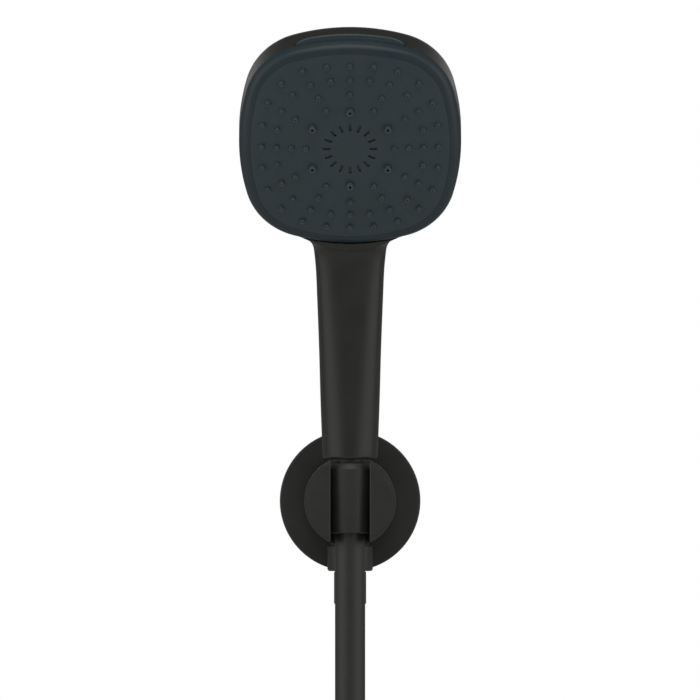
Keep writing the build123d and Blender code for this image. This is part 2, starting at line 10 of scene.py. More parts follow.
import bmesh
import bpy
import numpy as np
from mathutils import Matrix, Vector


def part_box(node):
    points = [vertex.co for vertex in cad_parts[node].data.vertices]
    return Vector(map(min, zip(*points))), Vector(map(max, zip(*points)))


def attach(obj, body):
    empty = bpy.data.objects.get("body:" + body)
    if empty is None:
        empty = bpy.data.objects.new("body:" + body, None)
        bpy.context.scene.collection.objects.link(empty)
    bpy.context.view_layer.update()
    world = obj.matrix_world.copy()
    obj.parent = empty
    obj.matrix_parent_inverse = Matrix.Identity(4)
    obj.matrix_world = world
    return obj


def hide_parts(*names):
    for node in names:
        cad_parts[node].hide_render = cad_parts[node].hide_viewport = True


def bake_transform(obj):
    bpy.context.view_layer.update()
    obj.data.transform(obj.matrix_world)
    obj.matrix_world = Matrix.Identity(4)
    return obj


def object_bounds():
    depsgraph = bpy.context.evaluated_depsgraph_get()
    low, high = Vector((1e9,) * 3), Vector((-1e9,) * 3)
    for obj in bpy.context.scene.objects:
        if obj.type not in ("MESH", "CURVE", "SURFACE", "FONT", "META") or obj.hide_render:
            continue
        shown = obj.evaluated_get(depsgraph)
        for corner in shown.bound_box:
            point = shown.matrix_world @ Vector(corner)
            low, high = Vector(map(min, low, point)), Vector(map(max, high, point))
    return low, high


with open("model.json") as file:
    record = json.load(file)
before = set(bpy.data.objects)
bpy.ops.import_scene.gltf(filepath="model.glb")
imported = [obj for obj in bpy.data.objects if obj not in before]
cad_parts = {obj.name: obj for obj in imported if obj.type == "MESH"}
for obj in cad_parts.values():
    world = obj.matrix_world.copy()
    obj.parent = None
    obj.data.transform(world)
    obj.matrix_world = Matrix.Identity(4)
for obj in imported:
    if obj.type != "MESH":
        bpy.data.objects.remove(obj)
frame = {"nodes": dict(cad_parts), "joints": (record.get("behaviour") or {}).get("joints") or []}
cad_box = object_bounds()
MM = 0.001
# Points closer than this many metres are one point; edges sharper than this stay crisp
WELD = 2e-6
CRISP_ANGLE = 34
HOSE_CRISP_ANGLE = 50
# A closed block is four loops of its outline, and these are their sizes: drawn to a point,
# full, full, drawn to a point
BLOCK_SHARES = np.array((0.0, 1.0, 1.0, 0.0))

# ---------------------------------------------------------------- places from the frame
JOINTS = {joint["name"]: joint for joint in frame["joints"]}
HEAD_AT = np.array(JOINTS["diverter_turn"]["pos_m"]) / MM
HEAD_OUT = np.array(JOINTS["diverter_turn"]["axis"])
HEAD_OUT = HEAD_OUT / np.linalg.norm(HEAD_OUT)
HEAD_X = np.array((1.0, 0.0, 0.0))
HEAD_UP = np.cross(HEAD_OUT, HEAD_X)
FACE_TILT = math.asin(-HEAD_OUT[2])
CRADLE_Y = JOINTS["handset_turn"]["pos_m"][1] / MM
OUTLET_Y = JOINTS["wall_nut_turn"]["pos_m"][1] / MM
UP = np.array((0.0, 0.0, 1.0))
ROOM = np.array((0.0, -1.0, 0.0))
CRADLE_AT = np.array((0.0, CRADLE_Y, 0.0))
OUTLET_AT = np.array((0.0, OUTLET_Y, 0.0))
WALL_AT = np.zeros(3)

# ---------------------------------------------------------------- sizes
# The head: a soft square of four long side arcs and four corner arcs, and its cup
HEAD_HALF = 55.0
SIDE_ARC_R = 104.0
CORNER_ARC_R = 33.0
HEAD_BACK = 25.0
BACK_CROWN = 3.0
BACK_ROUND = 10.0
WALL = 2.2
RING_GAP = 0.3
NECK_BLEND = 10.0
SHELL_TOP = 54.98
SHELL_REACH = 92.0
SHELL_FOOT_R = 1.0
HOLLOW_TOP = 52.7
HOLLOW_FOOT = 24.0
MOUTH_INSET = 2.35
MOUTH_BACK = -WALL - 1.5
CUT_FRONT = 1.0
BORE_OUTLINE = np.array(((0, 20.0), (9.6, 20.0), (9.6, 25.0), (0, 25.0)))

# The spray face: dome, ring, plate and mat, as heights in front of the head's rim
DOME_TOP = 10.8
DOME_R = 310.0
RING_WIDE = 5.5
RING_SIDE = 1.8
PLATE_HALF = 49.45
PLATE_RIM_R = 0.1
PLATE_FOOT = 3.0
MAT_FOOT = 1.8
MAT_HALF = 47.5
MAT_GAP = 0.02
DRILL_TOP = 14.0

# Nozzles: rings of a radius and a count, then each stud's outline as a radius, a height,
# and 1 where the height counts from the stud's own tip or 0 where from the head's rim
NOZZLE_RINGS = ((43.8, 24), (36.4, 24), (29.1, 12), (22.0, 6))
NOZZLE_SWELL = 0.1
TEAT_R = 1.3
TEAT_HOLE_R = 1.4
TEAT_PROUD = 2.1
TEAT_OUTLINE = np.array((
    (0, PLATE_FOOT - 0.8, 0), (TEAT_R, PLATE_FOOT - 0.8, 0), (TEAT_R, -2.2, 1),
    (1.12, -0.35, 1), (1.02, -0.1, 1), (0.8, 0.0, 1), (0.45, -0.03, 1),
    (0.32, -0.12, 1), (0.28, -1.6, 1), (0, -1.6, 1),
), float)
JET_RING_R = 20.1
JET_COUNT = 6
JET_R = 1.8
JET_HOLE_R = 2.0
JET_PROUD = 2.9
JET_OUTLINE = np.array((
    (0, MAT_FOOT, 0), (JET_R, MAT_FOOT, 0), (JET_R, -1.2, 1), (1.72, -0.35, 1), (1.6, -0.1, 1),
    (1.4, 0.0, 1), (1.0, -0.03, 1), (0.7, -0.15, 1), (0.62, -0.5, 1), (0.6, -3.5, 1),
    (0, -3.5, 1),
), float)

# The ring of slots round the plate's middle
SLOT_COUNT = 16
SLOT_RING_R = 11.6
SLOT_LENGTH = 4.0
SLOT_WIDTH = 1.3
SLOT_DEEP = 0.9

# The push button: its outline, the bead on its rear edge and its thumb grooves
BUTTON_HALF = 27.3
BUTTON_DEEP = 5.2
BUTTON_STRAIGHT = 19.0
BUTTON_PROUD = 0.6
BUTTON_EDGE_R = 0.7
BUTTON_THICK = 2.6
BUTTON_PLAY = 0.02
BUTTON_WINDOW_GAP = 0.3
WINDOW_FOOT = 44.0
WINDOW_TOP = 60.0
BEAD_HIGH = 0.45
BEAD_BACK = 1.2
BEAD_HALF = 0.5
GRIP_COUNT = 15
GRIP_PITCH = 2.3
GRIP_DEEP = 1.1
GRIP_HALF = 0.6
GRIP_MIDDLE = -2.3
# Straight limbs: x from and to, height up the face from and to, depth from and to
BUTTON_LIMBS = (
    (-8, 8, 46.2, 53.0, -4.4, -1.9), (-5, 5, 46.2, 48.2, -19.3, -1.9),
    (-3, 3, 17.0, 46.6, -20.4, -18.8),
)
LEG_ROOM = (-9, 9, 41.0, 49.0, -19.9, 0.5)
LIMB_CORNER_R = 0.4

# The hose and its coil
HOSE_R = 7.5
FRONT_SLEEVE_FOOT = -16.0
REAR_SLEEVE_FOOT = -51.2
COIL_R = 75.0
COIL_Z = -232.0
COIL_FRONT = -53.0
COIL_PITCH = 15.6
COIL_TURNS = 2.5
COIL_START = 195
COIL_STEP = 30

# The coil's strap: its cloth, its free end and the weave's ribs
STRAP_THICK = 1.5
STRAP_BEND_R = 3.0
LAP_THICK = 1.0
THREAD = 0.9

# Outlines of the turned pieces: radius, place along the axis, and the corner's own radius
ROSETTE_OUTLINE = (
    (32.8, 0.0), (35.0, 0.0, 0.3), (35.0, 9.0, 0.9), (12.2, 9.0, 0.3), (12.2, 5.85),
    (13.7, 5.85), (13.7, 4.15), (12.2, 4.15), (12.2, 1.0), (15.0, 1.0), (15.0, 6.8), (32.8, 6.8),
)
NUT_OUTLINE = (
    (7.08, -34.9, 0.2), (11.3, -34.9, 1.3), (11.3, -22.3, 0.5), (10.36, -22.3),
    (10.36, -33.2), (7.08, -33.2),
)
REAR_SLEEVE_OUTLINE = (
    (5.2, REAR_SLEEVE_FOOT), (8.0, REAR_SLEEVE_FOOT, 0.4), (8.0, -35.2, 0.5), (5.2, -35.2),
)
FRONT_SLEEVE_OUTLINE = (
    (5.2, FRONT_SLEEVE_FOOT), (8.0, FRONT_SLEEVE_FOOT, 0.4), (8.0, 5.05, 0.4), (5.2, 5.05),
)
CONE_OUTLINE = (
    (8.08, -15.7), (10.7, -15.7, 0.5), (12.2, 15.9, 0.5), (10.9, 19.1, 0.4), (10.36, 19.1),
    (10.36, 5.0), (8.08, 5.0),
)
BROKEN_EDGE = 0.12
BROKEN_EDGE_ANGLE = 32
BODY_CRISP_ANGLE = 40

# Handle sections: y, z, lean in degrees, half width, half depth, squareness
HANDLE = np.array((
    (-48.0, 21.1, 0.0, 13.65, 13.65, 2.0),
    (-48.0, 50.0, 0.0, 14.7, 14.0, 2.3),
    (-48.0, 75.0, 0.0, 15.4, 14.3, 2.7),
    (-48.2, 99.0, 2.0, 16.3, 14.3, 3.1),
    (-50.0, 118.0, 9.0, 17.2, 13.9, 3.4),
    (-55.5, 137.0, 19.0, 19.5, 12.4, 3.6),
    (-64.0, 155.0, 25.0, 22.0, 10.6, 3.8),
))
# Loops of the skin and of the hollow along the handle: from height, to height, how many
SHELL_RUNS = ((21.1, 118, 80), (118, 131, 18), (131, 143, 44), (143, 155, 22))
HOLLOW_RUNS = ((HOLLOW_FOOT, 118, 44), (118, 155, 50))
# How the handle's section fades out behind the head: narrower, thinner, and set back
FADE_NARROWS = 0.6
FADE_THINS = 0.8
FADE_SETS_BACK = 1.2
# Rays are dealt out to the front and back of a section at the head's rim, which is taken
# to lie this far in front of the spine at least and at most
RIM_NEAR = 9.0
RIM_FAR = 14.0
RIM_NECK_INSET = 2.5
HANDLE_TOP = np.array((0.0, HANDLE[-1, 0], HANDLE[-1, 1]))
HANDLE_TOP_V = (HANDLE_TOP - HEAD_AT) @ HEAD_UP


# ---------------------------------------------------------------- mesh making
def quads(rows, cols, wrap_rows, wrap_cols):
    """Four-cornered faces of a grid of points, joined round where a direction wraps."""
    r = np.arange(rows if wrap_rows else rows - 1)[:, None]
    c = np.arange(cols if wrap_cols else cols - 1)[None, :]
    r2, c2 = (r + 1) % rows, (c + 1) % cols
    corners = (r * cols + c, r * cols + c2, r2 * cols + c2, r2 * cols + c)
    return np.stack([np.broadcast_to(k, (r.size, c.size)) for k in corners], -1).reshape(-1, 4)


def mesh_of(name, grids):
    """One mesh from (points, wraps along rows) grids whose columns always wrap.
    Each grid holds rows of closed loops; a row drawn to a point or a line closes its end."""
    points, faces, count = [], [], 0
    for grid, wrap_rows in grids:
        rows, cols = grid.shape[:2]
        points.append(grid.reshape(-1, 3) * MM)
        faces.append(quads(rows, cols, wrap_rows, True) + count)
        count += rows * cols
    mesh = bpy.data.meshes.new(name)
    mesh.from_pydata(np.concatenate(points).tolist(), [], np.concatenate(faces).tolist())
    shape = bmesh.new()
    shape.from_mesh(mesh)
    bmesh.ops.remove_doubles(shape, verts=shape.verts, dist=WELD)
    bmesh.ops.dissolve_degenerate(shape, edges=shape.edges, dist=WELD / 2)
    bmesh.ops.recalc_face_normals(shape, faces=shape.faces)
    shape.to_mesh(mesh)
    shape.free()
    return mesh


def merge(mesh):
    """Joins the points that the faces of a carried-over mesh share."""
    shape = bmesh.new()
    shape.from_mesh(mesh)
    bmesh.ops.remove_doubles(shape, verts=shape.verts, dist=WELD)
    shape.to_mesh(mesh)
    shape.free()


def place(name, data):
    """Puts a mesh, a lamp or a camera into the scene as an object."""
    obj = bpy.data.objects.new(name, data)
    bpy.context.scene.collection.objects.link(obj)
    return obj


def soft_edges(obj, angle=CRISP_ANGLE):
    """Smooth shading, with edges sharper than the angle in degrees left crisp."""
    obj.data.shade_smooth()
    obj.data.set_sharp_from_angle(angle=math.radians(angle))
    return obj


def piece(name, grids, body, material, slot, *nodes):
    """A finished piece: its mesh, finish, body, and the CAD nodes it stands for."""
    obj = soft_edges(place(name, mesh_of(name, grids)))
    return settle(obj, body, material, slot, *nodes)


def settle(obj, body, material, slot, *nodes):
    """Gives an object its material, rides it on a body and hides its CAD nodes. The slot is not
    used.
    """
    obj.data.materials.clear()
    obj.data.materials.append(material)
    if body:
        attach(obj, body)
    if nodes:
        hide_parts(*nodes)
    return obj


def carve(obj, *cutters):
    """Cuts closed meshes out of an object, one after another, and removes the cutters."""
    for mesh in cutters:
        tool = place("cutter", mesh)
        cut = obj.modifiers.new("cut", "BOOLEAN")
        cut.operation = "DIFFERENCE"
        cut.solver = "MANIFOLD"
        cut.object = tool
        bake_modifiers(obj)
        bpy.data.objects.remove(tool)
    return soft_edges(obj)


def bake_modifiers(obj):
    """Replaces an object's mesh by what its modifiers make of it."""
    bpy.context.view_layer.update()
    seen = obj.evaluated_get(bpy.context.evaluated_depsgraph_get())
    made = bpy.data.meshes.new_from_object(seen)
    obj.modifiers.clear()
    obj.data = made


def rounded(corners, steps=6):
    """A closed outline of (a, b, radius) corners. A corner with a radius becomes the arc
    that touches both of its edges: it swings round a centre on the corner's bisector."""
    places = np.array([corner[:2] for corner in corners], float)
    outline = []
    for k, corner in enumerate(corners):
        radius = corner[2] if len(corner) > 2 else 0.0
        here = places[k]
        if radius == 0:
            outline.append(here[None])
            continue
        back = places[k - 1] - here
        ahead = places[(k + 1) % len(corners)] - here
        back, ahead = back / np.linalg.norm(back), ahead / np.linalg.norm(ahead)
        half = math.acos(np.clip(back @ ahead, -1, 1)) / 2
        middle = (back + ahead) / np.linalg.norm(back + ahead)
        centre = here + middle * radius / math.sin(half)
        start = here + back * radius / math.tan(half)
        end = here + ahead * radius / math.tan(half)
        share = np.linspace(0, 1, steps + 1)[:, None]
        sweep = math.pi / 2 - half
        turn = (share * 2 - 1) * sweep
        across = (end - start) / np.linalg.norm(end - start)
        outline.append(centre - middle * radius * np.cos(turn) + across * radius * np.sin(turn))
    return np.concatenate(outline)


def turned(outline, at, axis, around=96):
    """An outline of (radius, height) turned round an axis:
    point = place + axis * height + radius * (cos t * side + sin t * other side)."""
    side = np.cross(axis, (0.0, 0.0, 1.0) if abs(axis[2]) < 0.9 else (1.0, 0.0, 0.0))
    side = side / np.linalg.norm(side)
    other = np.cross(axis, side)
    t = np.arange(around) * 2 * math.pi / around
    circle = np.cos(t)[:, None] * side + np.sin(t)[:, None] * other
    return at + outline[:, None, 1:2] * axis + outline[:, None, 0:1] * circle[None]


def head_point(x, v, w):
    """A place in the head's own frame: across, up along the face, out of the face."""
    x, v, w = np.broadcast_arrays(x, v, w)
    return HEAD_AT + x[..., None] * HEAD_X + v[..., None] * HEAD_UP + w[..., None] * HEAD_OUT


# ---------------------------------------------------------------- the soft square
SIDE_REACH = SIDE_ARC_R - HEAD_HALF
ARC_SPAN = SIDE_ARC_R - CORNER_ARC_R
CORNER_C = (-SIDE_REACH + math.sqrt(2 * ARC_SPAN**2 - SIDE_REACH**2)) / 2
SIDE_TURN = math.atan2(CORNER_C, CORNER_C + SIDE_REACH)


def outline_turns(steps=26):
    """Directions of the outline's normal, evenly spaced along each side and corner arc."""
    quarter = np.concatenate((
        np.linspace(-SIDE_TURN, SIDE_TURN, steps, endpoint=False),
        np.linspace(SIDE_TURN, math.pi / 2 - SIDE_TURN, steps, endpoint=False),
    ))
    return np.concatenate([quarter + k * math.pi / 2 for k in range(4)])


def soft_square(inset, turns):
    """Outline point whose normal has a direction: side arcs swing round a point beyond the
    middle, corner arcs round a point on the diagonal, both with the inset off their radius."""
    quarter = np.floor((turns + SIDE_TURN) / (math.pi / 2))
    local = turns - quarter * math.pi / 2
    on_side = local < SIDE_TURN
    cx = np.where(on_side, -SIDE_REACH, CORNER_C)
    cy = np.where(on_side, 0.0, CORNER_C)
    radius = np.where(on_side, SIDE_ARC_R, CORNER_ARC_R) - inset
    x, y = cx + radius * np.cos(local), cy + radius * np.sin(local)
    c, s = np.cos(quarter * math.pi / 2), np.sin(quarter * math.pi / 2)
    return x * c - y * s, x * s + y * c


def soft_square_gap(x, v):
    """Distance outside the soft square, negative inside: to the side arc or corner arc
    that faces the point."""
    far, near = np.maximum(abs(x), abs(v)), np.minimum(abs(x), abs(v))
    side = np.hypot(far + SIDE_REACH, near) - SIDE_ARC_R
    corner = np.hypot(far - CORNER_C, near - CORNER_C) - CORNER_ARC_R
    return np.where(np.arctan2(near, far + SIDE_REACH) < SIDE_TURN, side, corner)


def furthest_inside(gap, limit, halvings):
    """The largest reach whose gap is still negative, between 0 and a limit, found by
    halving the interval again and again."""
    low, high = np.zeros_like(limit), limit
    for _ in range(halvings):
        middle = (low + high) / 2
        inside = gap(middle) < 0
        low, high = np.where(inside, middle, low), np.where(inside, high, middle)
    return low


def outline_half_width(v):
    """Half width of the soft square at a height along the face."""
    return furthest_inside(lambda x: soft_square_gap(x, v), np.full_like(v, HEAD_HALF), 40)


def square_prism(inset, w0, w1):
    """A closed block with the soft square's outline between two heights."""
    x, v = soft_square(inset, outline_turns())
    shares = BLOCK_SHARES[:, None]
    heights = np.array((w0, w0, w1, w1))[:, None]
    return head_point(x * shares, v * shares, heights)


# ---------------------------------------------------------------- materials
def colour(code):
    """Linear colour of an sRGB hex code."""
    parts = [int(code[k:k + 2], 16) / 255 for k in (0, 2, 4)]
    linear = [p / 12.92 if p <= 0.04045 else ((p + 0.055) / 1.055) ** 2.4 for p in parts]
    return (*linear, 1.0)


def add(tree, kind, inputs=None, **settings):
    """Adds one shader node with its settings; an input is a value or another node's output."""
    made = tree.nodes.new(kind)
    for key, value in settings.items():
        setattr(made, key, value)
    for socket, value in (inputs or {}).items():
        if isinstance(value, bpy.types.NodeSocket):
            tree.links.new(value, made.inputs[socket])
        else:
            made.inputs[socket].default_value = value
    return made


def start_material(name, **shader):
    """An empty material with its surface shader; the shader's constants sit on its sockets."""
    material = bpy.data.materials.new(name)
    material.use_nodes = True
    tree = material.node_tree
    surface = tree.nodes["Principled BSDF"]
    for socket, value in shader.items():
        surface.inputs[socket.replace("_", " ")].default_value = value
    return material, tree, surface


def skin(name, low, high, rough, blotch_mm, grain_mm, grain_deep_mm, detail=3.0, **shader):
    """A moulded, coated or drawn skin: colour drifts between two tones over blotches of one
    size, roughness drifts with it, and a grain of another size stands up as relief."""
    material, tree, surface = start_material(name, **shader)
    spot = add(tree, "ShaderNodeTexCoord").outputs["Object"]
    blotch = add(
        tree, "ShaderNodeTexNoise",
        {"Vector": spot, "Scale": 1 / (blotch_mm * MM), "Detail": detail, "Roughness": 0.55},
    )
    ramp = add(tree, "ShaderNodeValToRGB", {"Fac": blotch.outputs["Fac"]})
    ramp.color_ramp.elements[0].position = 0.3
    ramp.color_ramp.elements[0].color = colour(low)
    ramp.color_ramp.elements[1].position = 0.7
    ramp.color_ramp.elements[1].color = colour(high)
    tree.links.new(ramp.outputs["Color"], surface.inputs["Base Color"])
    gloss = add(
        tree, "ShaderNodeMapRange",
        {"Value": blotch.outputs["Fac"], "From Min": 0.3, "From Max": 0.7,
         "To Min": rough[0], "To Max": rough[1]},
    )
    tree.links.new(gloss.outputs["Result"], surface.inputs["Roughness"])
    grain = add(
        tree, "ShaderNodeTexNoise",
        {"Vector": spot, "Scale": 1 / (grain_mm * MM), "Detail": 2.0, "Roughness": 0.5},
    )
    relief = add(
        tree, "ShaderNodeBump",
        {"Height": grain.outputs["Fac"], "Distance": grain_deep_mm * MM, "Strength": 1.0},
    )
    tree.links.new(relief.outputs["Normal"], surface.inputs["Normal"])
    return material


def strap_weave():
    """Polyester hook-and-loop strap, woven: ribs of thread a millimetre apart that cross, with
    painted shade darkening the low places between them.
    """
    material, tree, surface = start_material(
        "woven_polyester_strap", IOR=1.55, Sheen_Weight=0.35, Sheen_Roughness=0.5
    )
    spot = add(tree, "ShaderNodeTexCoord").outputs["Object"]
    wave = {
        "Vector": spot, "Scale": 0.5 / (THREAD * MM) / math.tau, "Distortion": 0.4, "Detail": 1.0,
    }
    weft = add(tree, "ShaderNodeTexWave", wave, bands_direction="X")
    warp = add(tree, "ShaderNodeTexWave", wave, bands_direction="DIAGONAL")
    height = add(
        tree, "ShaderNodeMath", {0: weft.outputs["Fac"], 1: warp.outputs["Fac"]},
        operation="MULTIPLY",
    )
    # Painted shade: the colour darkens where the weave's relief lies low, between the threads
    ramp = add(tree, "ShaderNodeValToRGB", {"Fac": height.outputs["Value"]})
    ramp.color_ramp.elements[0].color = colour("101113")
    ramp.color_ramp.elements[1].color = colour("2B2C2E")
    tree.links.new(ramp.outputs["Color"], surface.inputs["Base Color"])
    surface.inputs["Roughness"].default_value = 0.8
    relief = add(
        tree, "ShaderNodeBump", {"Height": height.outputs["Value"], "Distance": 0.25 * MM}
    )
    tree.links.new(relief.outputs["Normal"], surface.inputs["Normal"])
    return material


# Satin polyester powder coat baked on brass: an even near-black with a faint orange peel
powder_coat = skin(
    "satin_black_powder_coat", "252523", "2A2A27", (0.44, 0.50), 9.0, 0.9, 0.006, IOR=1.5
)
# ABS moulded in a fine spark-eroded tool: a deep warm black with a soft satin light
black_abs = skin(
    "satin_black_moulded_abs", "181816", "1D1D1A", (0.42, 0.48), 12.0, 0.6, 0.005, IOR=1.53
)
# ABS moulded and sprayed a slate grey: smooth, satin, a little blue
slate_abs = skin(
    "satin_slate_sprayed_abs", "223338", "26373D", (0.44, 0.50), 14.0, 0.5, 0.003, IOR=1.53
)
# The same ABS, its tone set a shade darker than the plate's, for the ring round the spray plate
dark_slate_abs = skin(
    "dark_slate_sprayed_abs", "12252B", "162A31", (0.46, 0.52), 14.0, 0.5, 0.003, IOR=1.53
)
# Liquid silicone rubber, moulded: matt and greyer than the plate; its tone is set a shade paler
# than the plate's as painted highlight for the light the nozzle tips catch
slate_silicone = skin(
    "slate_moulded_silicone", "37444A", "3F4C52", (0.48, 0.56), 3.0, 0.4, 0.004, IOR=1.42
)
# PVC hose cover, extruded smooth over its braid: satin black
hose_pvc = skin(
    "satin_black_extruded_pvc", "222220", "272725", (0.46, 0.52), 7.0, 1.2, 0.006, IOR=1.54
)
# EPDM rubber, moulded: matt black with a dusty bloom
epdm_rubber = skin(
    "moulded_epdm_rubber", "151515", "202020", (0.65, 0.8), 2.0, 0.25, 0.01, IOR=1.52
)
# Dezincification-resistant brass, turned: yellow metal with fine tool marks
turned_brass = skin(
    "turned_brass", "B08D4A", "C7A560", (0.22, 0.34), 2.5, 0.15, 0.004, Metallic=1.0
)
# Stainless spring wire, drawn: bright and slightly streaked
spring_steel = skin(
    "drawn_stainless_wire", "9A9C9E", "B4B6B8", (0.2, 0.32), 1.0, 0.12, 0.003, Metallic=1.0
)
# Acetal, moulded natural: milky white, waxy
natural_acetal = skin(
    "natural_moulded_acetal", "D6D3C8", "E2DFD6", (0.35, 0.5), 5.0, 0.4, 0.006, IOR=1.48,
    Subsurface_Weight=0.15, Subsurface_Radius=(0.002, 0.0018, 0.0015), Subsurface_Scale=1.0,
)
# Glass-filled nylon liner, moulded: dark grey and slightly fibrous
grey_nylon = skin(
    "grey_moulded_nylon", "2A2A29", "333332", (0.5, 0.62), 1.5, 0.3, 0.01, IOR=1.53
)
strap_cloth = strap_weave()

CARRIED_OVER = (
    (epdm_rubber, ("rosette_o_ring", "wall_gasket", "outlet_washer", "inlet_washer",
                   "connector_o_ring", "shaft_seal", "port_seal")),
    (turned_brass, ("wall_nipple", "wall_end_stem", "handset_end_stem")),
    (black_abs, ("inlet_connector",)),
    (spring_steel, ("housing_screws", "ratchet_leaf", "filter_screen")),
    (natural_acetal, ("check_valve_housing", "check_valve_poppet", "flow_limiter", "water_tube",
                      "diverter_housing", "channel_plate", "diverter_disc", "ratchet_wheel")),
    (grey_nylon, ("cradle_liner",)),
)
for finish, names in CARRIED_OVER:
    for node_name in names:
        node = frame["nodes"][node_name]
        node.data.materials.clear()
        node.data.materials.append(finish)
        soft_edges(node)


# ---------------------------------------------------------------- camera and light
# The view's width and middle (x, z) on an upright plane just in front of the cradle
VIEW_WIDTH = 347.2
VIEW_MIDDLE = (-0.05, 75.04)
VIEW_PLANE_Y = CRADLE_Y - 12.0
LENS = 1500.0
SENSOR = 36.0
SURROUND_LIGHT = 0.17
# Panels of light, in metres and watts: name, place, width and height, power
LIGHT_AIM = (0.0, -0.05, 0.08)
PANELS = (
    ("side_panel", (-1.06, -0.55, 0.1), (1.4, 1.8), 7.0),
    ("side_panel", (1.06, -0.55, 0.1), (1.4, 1.8), 7.0),
    ("high_front", (0.0, -1.2, 1.5), (1.3, 1.0), 11.0),
    ("low_back", (0.0, 1.6, 0.62), (2.6, 0.6), 4.0),
)
FLOOR_GAP = 3.0
FLOOR_HALF = 1600.0
FLOOR_THICK = 20.0


def set_camera():
    """A very long lens, level with the set and square to the wall."""
    camera = bpy.data.cameras.new("camera")
    camera.lens = LENS
    camera.sensor_width = SENSOR
    shot = place("camera", camera)
    distance = VIEW_WIDTH * MM * LENS / SENSOR
    shot.location = (VIEW_MIDDLE[0] * MM, VIEW_PLANE_Y * MM - distance, VIEW_MIDDLE[1] * MM)
    shot.rotation_euler = (math.pi / 2, 0.0, 0.0)
    bpy.context.scene.camera = shot


def softbox(name, spot, size, power):
    """A rectangular panel of light at a spot, turned to face the set's middle."""
    lamp = bpy.data.lights.new(name, "AREA")
    lamp.shape = "RECTANGLE"
    lamp.size, lamp.size_y = size
    lamp.energy = power
    panel = place(name, lamp)
    panel.location = spot
    panel.rotation_euler = (Vector(LIGHT_AIM) - Vector(spot)).to_track_quat("-Z", "Y").to_euler()


def set_studio():
    """Side panels that draw the light bands on the round parts, a panel above and in front,
    a low one behind, and a surround that the camera sees white and the object sees dim."""
    for name, spot, size, power in PANELS:
        softbox(name, spot, size, power)
    world = bpy.data.worlds.new("white_surround")
    bpy.context.scene.world = world
    world.use_nodes = True
    tree = world.node_tree
    tree.nodes.clear()
    seen = add(tree, "ShaderNodeLightPath").outputs["Is Camera Ray"]
    white = colour("FFFFFF")
    dim = add(tree, "ShaderNodeBackground", {"Color": white, "Strength": SURROUND_LIGHT})
    bright = add(tree, "ShaderNodeBackground", {"Color": white, "Strength": 1.0})
    both = add(
        tree, "ShaderNodeMixShader",
        {0: seen, 1: dim.outputs["Background"], 2: bright.outputs["Background"]},
    )
    add(tree, "ShaderNodeOutputWorld", {"Surface": both.outputs["Shader"]})
    bpy.context.scene.view_settings.view_transform = "Standard"
    bpy.context.scene.view_settings.look = "None"


def lay_floor():
    """A pale painted floor a little under the coil."""
    top = cad_box[0].z / MM - FLOOR_GAP
    foot = top - FLOOR_THICK
    corners = np.array(((-1, -1), (1, -1), (1, 1), (-1, 1))) * FLOOR_HALF
    grid = np.zeros((4, 4, 3))
    grid[..., :2] = corners[None] * BLOCK_SHARES[:, None, None]
    grid[..., 2] = np.array((foot, foot, top, top))[:, None]
    floor = place("floor", mesh_of("floor", [(grid, False)]))
    floor.data.materials.append(
        skin("pale_painted_floor", "E4E3E0", "EAE9E6", (0.7, 0.8), 300.0, 3.0, 0.02, IOR=1.45)
    )


# ---------------------------------------------------------------- hose
def hose_route():
    """Control points of the hose from the handset's nut, down, round the coil, and up to the
    outlet's nut."""
    lead = [
        (0, CRADLE_Y, FRONT_SLEEVE_FOOT), (0, CRADLE_Y, -95), (0, CRADLE_Y, -112),
        (-22, -54, -152), (-57, -57, -176), (-75, -55.5, -213),
    ]
    turns = []
    count = int(COIL_TURNS * 360 / COIL_STEP)
    reach = COIL_R / math.cos(math.radians(COIL_STEP / 2))
    for k in range(count):
        angle = math.radians(COIL_START + COIL_STEP * k)
        turns.append((
            reach * math.cos(angle),
            COIL_FRONT + COIL_PITCH * COIL_TURNS * (k + 0.5) / count,
            COIL_Z + reach * math.sin(angle),
        ))
    tail = [
        (75, -12.5, -213), (57, -11, -176), (22, -11.5, -152), (0, OUTLET_Y, -112),
        (0, OUTLET_Y, -95), (0, OUTLET_Y, REAR_SLEEVE_FOOT),
    ]
    return lead + turns + tail


def spline_points(route, resolution=8):
    """Points read from the route's NURBS spline, in metres."""
    curve = bpy.data.curves.new("route", "CURVE")
    curve.dimensions = "3D"
    curve.resolution_u = resolution
    spline = curve.splines.new("NURBS")
    spline.points.add(len(route) - 1)
    for control, spot in zip(spline.points, route):
        control.co = (*(Vector(spot) * MM), 1.0)
    spline.order_u = 3
    spline.use_endpoint_u = True
    holder = place("route", curve)
    bpy.context.view_layer.update()
    line = bpy.data.meshes.new_from_object(
        holder.evaluated_get(bpy.context.evaluated_depsgraph_get())
    )
    points = np.array([v.co for v in line.vertices], float)
    bpy.data.objects.remove(holder)
    return points


def tube_grid(line, radius, around=40):
    """A round tube along a line: each ring turns with the line without twisting, its end
    rings drawn to a point to close it."""
    ahead = np.gradient(line, axis=0)
    ahead /= np.linalg.norm(ahead, axis=1)[:, None]
    side = np.cross(ahead[0], (0.0, 1.0, 0.0))
    sides = []
    for direction in ahead:
        side = side - direction * (side @ direction)
        side = side / np.linalg.norm(side)
        sides.append(side)
    sides = np.array(sides)
    others = np.cross(ahead, sides)
    t = np.arange(around) * 2 * math.pi / around
    ring = np.cos(t)[None, :, None] * sides[:, None] + np.sin(t)[None, :, None] * others[:, None]
    grid = line[:, None] + ring * radius
    first = np.broadcast_to(line[0], grid[0].shape)[None]
    last = np.broadcast_to(line[-1], grid[0].shape)[None]
    return np.concatenate((first, grid, last))


def make_hose():
    """The hose: a tube along its spline."""
    line = spline_points(hose_route())
    hose = place("hose", mesh_of("hose", [(tube_grid(line / MM, HOSE_R), False)]))
    soft_edges(hose, HOSE_CRISP_ANGLE)
    settle(hose, None, hose_pvc, "hose_sheath", "hose_front", "hose_rear", "hose_coil")
    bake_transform(hose)
    return hose, line


